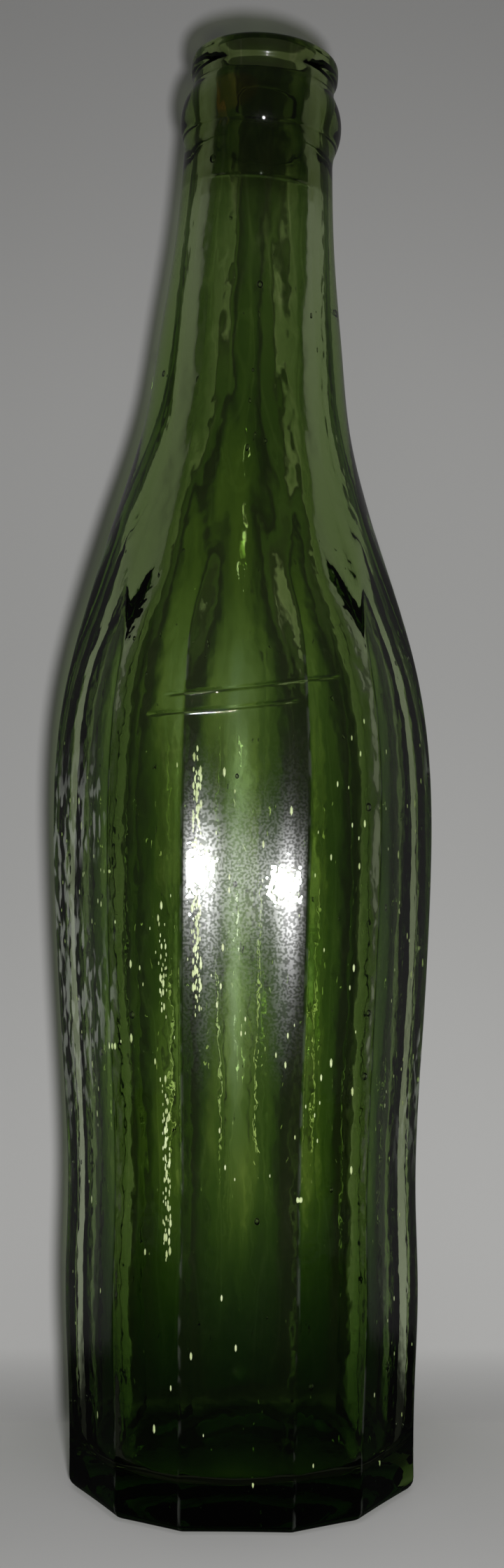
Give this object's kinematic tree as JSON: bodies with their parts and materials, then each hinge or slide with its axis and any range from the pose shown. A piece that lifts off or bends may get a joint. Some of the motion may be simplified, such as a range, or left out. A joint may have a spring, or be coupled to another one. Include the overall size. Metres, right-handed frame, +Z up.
{
  "type": "antique soda bottle",
  "caption": "Tall empty bottle of thick dark green glass with a softly bulging panelled body, long slim neck that leans slightly, ringed collar and rounded lip.",
  "frame": {"origin": "centre of the base, at the level that the bottle stands on", "axes": "+Z up along the bottle, -Y the front panel, +X the side that the neck leans to"},
  "size_m": [0.0672, 0.0654, 0.2578],
  "materials": {
    "green_glass": "dark bottle green, wavy, with seeds and light wear"
  },
  "bodies": {
    "root": {"bottle": "green_glass"}
  },
  "joints": []
}
